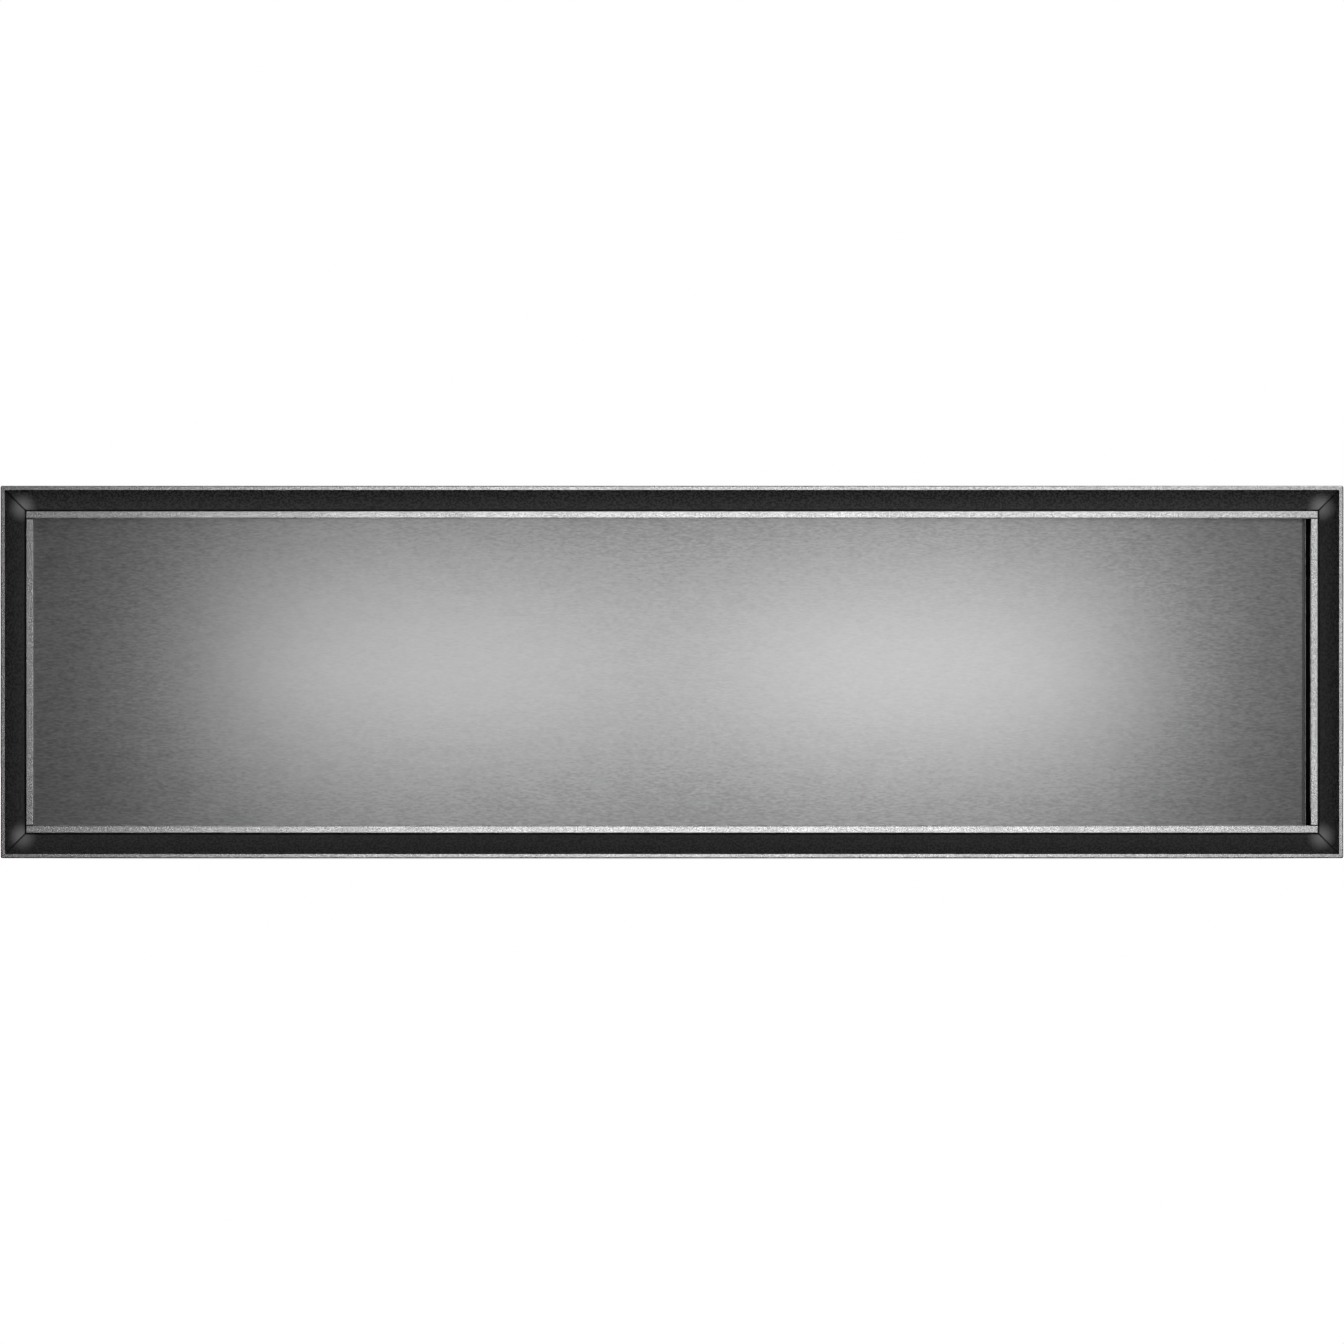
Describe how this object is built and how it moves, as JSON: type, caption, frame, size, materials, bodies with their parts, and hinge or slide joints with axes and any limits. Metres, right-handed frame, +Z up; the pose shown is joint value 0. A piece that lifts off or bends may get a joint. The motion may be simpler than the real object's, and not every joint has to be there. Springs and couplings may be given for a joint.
{
  "type": "warming drawer",
  "caption": "Built-in warming drawer: steel picture-frame front, push-to-open heated drawer on telescopic runners, glass plate, fan, thermostat knob and sheet-metal housing.",
  "frame": {"origin": "on the niche floor under the housing, at the middle of the furniture's front plane", "axes": "+X to the right of someone facing the front, +Y into the niche, +Z up"},
  "size_m": [0.598, 0.557, 0.166],
  "materials": {
    "frame_steel": "bead blasted",
    "rim_steel": "bead blasted",
    "panel_steel": "brushed along its length",
    "liner_dark": "matte dark paint",
    "zinc_sheet": "galvanised sheet",
    "runner_zinc": "bright zinc",
    "cage_steel": "bare sheet",
    "ball_steel": "polished",
    "screw_steel": "zinc plated",
    "tray_steel": "satin",
    "console_steel": "fine brushed",
    "buffer_rubber": "matte",
    "plate_glass": "dark tinted, toughened",
    "board_fibre": "pressed mineral fibre",
    "heater_tube": "heat tinted",
    "clip_steel": "bare spring steel",
    "limiter_alloy": "turned cap",
    "control_plastic": "fine grain",
    "knob_plastic": "satin",
    "button_plastic": "satin silver",
    "lens_plastic": "clear orange",
    "fan_alloy": "mill finish",
    "motor_steel": "stacked sheet, lacquered",
    "coil_copper": "lacquered winding",
    "latch_plastic": "moulded",
    "latch_steel": "zinc plated",
    "gland_plastic": "moulded"
  },
  "bodies": {
    "housing": {"frame_band": "frame_steel", "liner_top": "liner_dark", "liner_bottom": "liner_dark", "liner_left": "liner_dark", "liner_right": "liner_dark", "frame_corner_keys": "zinc_sheet", "base_plate": "zinc_sheet", "top_cover": "zinc_sheet", "side_wall_left": "zinc_sheet", "side_wall_right": "zinc_sheet", "rear_panel": "zinc_sheet", "housing_screws": "screw_steel", "runner_rivets": "screw_steel", "runner_outer_left": "runner_zinc", "runner_outer_right": "runner_zinc", "latch_housing": "latch_plastic", "terminal_box": "control_plastic", "cable_gland": "gland_plastic"},
    "drawer": {"runner_inner_left": "runner_zinc", "runner_inner_right": "runner_zinc", "rim_top": "rim_steel", "rim_bottom": "rim_steel", "rim_left": "rim_steel", "rim_right": "rim_steel", "front_panel": "panel_steel", "front_carrier": "control_plastic", "front_buffers": "buffer_rubber", "groove_strip": "buffer_rubber", "drawer_tray": "tray_steel", "glass_plate": "plate_glass", "glass_rails": "tray_steel", "insulation_board": "board_fibre", "heater_element": "heater_tube", "heater_clips": "clip_steel", "temperature_limiter": "limiter_alloy", "control_console": "console_steel", "thermostat": "control_plastic", "switch_body": "control_plastic", "indicator_lens": "lens_plastic", "fan_cover": "tray_steel", "fan_housing": "zinc_sheet", "fan_motor": "motor_steel", "fan_coil": "coil_copper", "latch_striker": "latch_steel"},
    "knob": {"temperature_knob": "knob_plastic", "thermostat_spindle": "latch_steel"},
    "button": {"power_button": "button_plastic"},
    "fan_rotor": {"fan_impeller": "fan_alloy", "fan_shaft": "latch_steel"},
    "hook": {"latch_hook": "latch_steel"},
    "runner_middle_left": {"runner_middle_left": "runner_zinc"},
    "cage_outer_left": {"ball_cage_outer_left": "cage_steel", "balls_outer_left": "ball_steel"},
    "cage_inner_left": {"ball_cage_inner_left": "cage_steel", "balls_inner_left": "ball_steel"},
    "runner_middle_right": {"runner_middle_right": "runner_zinc"},
    "cage_outer_right": {"ball_cage_outer_right": "cage_steel", "balls_outer_right": "ball_steel"},
    "cage_inner_right": {"ball_cage_inner_right": "cage_steel", "balls_inner_right": "ball_steel"}
  },
  "joints": [
    {"name": "drawer_slide", "type": "slide", "parent": "housing", "child": "drawer", "axis": [0, -1, 0], "range_m": [-0.003, 0.43]},
    {"name": "knob_turn", "type": "hinge", "parent": "drawer", "child": "knob", "pos_m": [0.2153, 0.0225, 0.1125], "axis": [0, 0, -1], "range_deg": [0, 270]},
    {"name": "button_press", "type": "slide", "parent": "drawer", "child": "button", "axis": [0, 0, -1], "range_m": [0, 0.0025], "stiffness_N_per_m": 600, "springref_m": -0.003},
    {"name": "fan_spin", "type": "hinge", "parent": "drawer", "child": "fan_rotor", "pos_m": [0, 0.46, 0.074], "axis": [0, 1, 0], "continuous": true},
    {"name": "hook_turn", "type": "hinge", "parent": "housing", "child": "hook", "pos_m": [-0.15008, 0.491, 0.026], "axis": [1, 0, 0], "range_deg": [0, 12], "stiffness_Nm_per_rad": 0.05, "springref_deg": -11.46},
    {"name": "runner_middle_left_slide", "type": "slide", "parent": "housing", "child": "runner_middle_left", "axis": [0, -1, 0], "range_m": [-0.0016, 0.2151]},
    {"name": "cage_outer_left_slide", "type": "slide", "parent": "housing", "child": "cage_outer_left", "axis": [0, -1, 0], "range_m": [-0.00085, 0.1076]},
    {"name": "cage_inner_left_slide", "type": "slide", "parent": "housing", "child": "cage_inner_left", "axis": [0, -1, 0], "range_m": [-0.00235, 0.3226]},
    {"name": "runner_middle_right_slide", "type": "slide", "parent": "housing", "child": "runner_middle_right", "axis": [0, -1, 0], "range_m": [-0.0016, 0.2151]},
    {"name": "cage_outer_right_slide", "type": "slide", "parent": "housing", "child": "cage_outer_right", "axis": [0, -1, 0], "range_m": [-0.00085, 0.1076]},
    {"name": "cage_inner_right_slide", "type": "slide", "parent": "housing", "child": "cage_inner_right", "axis": [0, -1, 0], "range_m": [-0.00235, 0.3226]}
  ],
  "couplings": [
    {"joint": "runner_middle_left_slide", "follows": "drawer_slide", "ratio": 0.5},
    {"joint": "cage_outer_left_slide", "follows": "drawer_slide", "ratio": 0.25},
    {"joint": "cage_inner_left_slide", "follows": "drawer_slide", "ratio": 0.75},
    {"joint": "runner_middle_right_slide", "follows": "drawer_slide", "ratio": 0.5},
    {"joint": "cage_outer_right_slide", "follows": "drawer_slide", "ratio": 0.25},
    {"joint": "cage_inner_right_slide", "follows": "drawer_slide", "ratio": 0.75}
  ]
}
